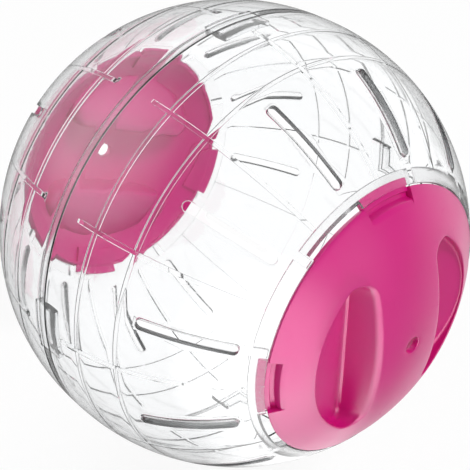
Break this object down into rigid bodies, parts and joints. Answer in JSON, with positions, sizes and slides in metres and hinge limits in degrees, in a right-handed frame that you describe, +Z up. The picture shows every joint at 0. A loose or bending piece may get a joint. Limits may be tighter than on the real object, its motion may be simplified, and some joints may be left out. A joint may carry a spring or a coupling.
{
  "type": "hamster ball",
  "caption": "Clear exercise ball for a hamster, made of push-together half shells with air slots, and a pink twist-lock lid at each pole.",
  "frame": {"origin": "centre of the ball", "axes": "+X along the lid axis towards the right lid, +Z up, the seam lies in the YZ plane"},
  "size_m": [0.1426, 0.14, 0.14],
  "materials": {
    "clear_shell": "clear, glossy moulded plastic",
    "pink_lid": "translucent pink, glossy moulded plastic"
  },
  "bodies": {
    "right_half": {"shell_right": "clear_shell"},
    "left_half": {"shell_left": "clear_shell"},
    "right_lid": {"lid_right": "pink_lid"},
    "left_lid": {"lid_left": "pink_lid"}
  },
  "joints": [
    {"name": "halves_apart", "type": "slide", "parent": "right_half", "child": "left_half", "axis": [-1, 0, 0], "range_m": [0, 0.06]},
    {"name": "right_lid_turn", "type": "hinge", "parent": "right_half", "child": "right_lid", "pos_m": [0, 0, 0], "axis": [1, 0, 0], "range_deg": [0, 25]},
    {"name": "left_lid_off", "type": "slide", "parent": "left_half", "child": "left_lid", "axis": [-1, 0, 0], "range_m": [0, 0.06]}
  ]
}
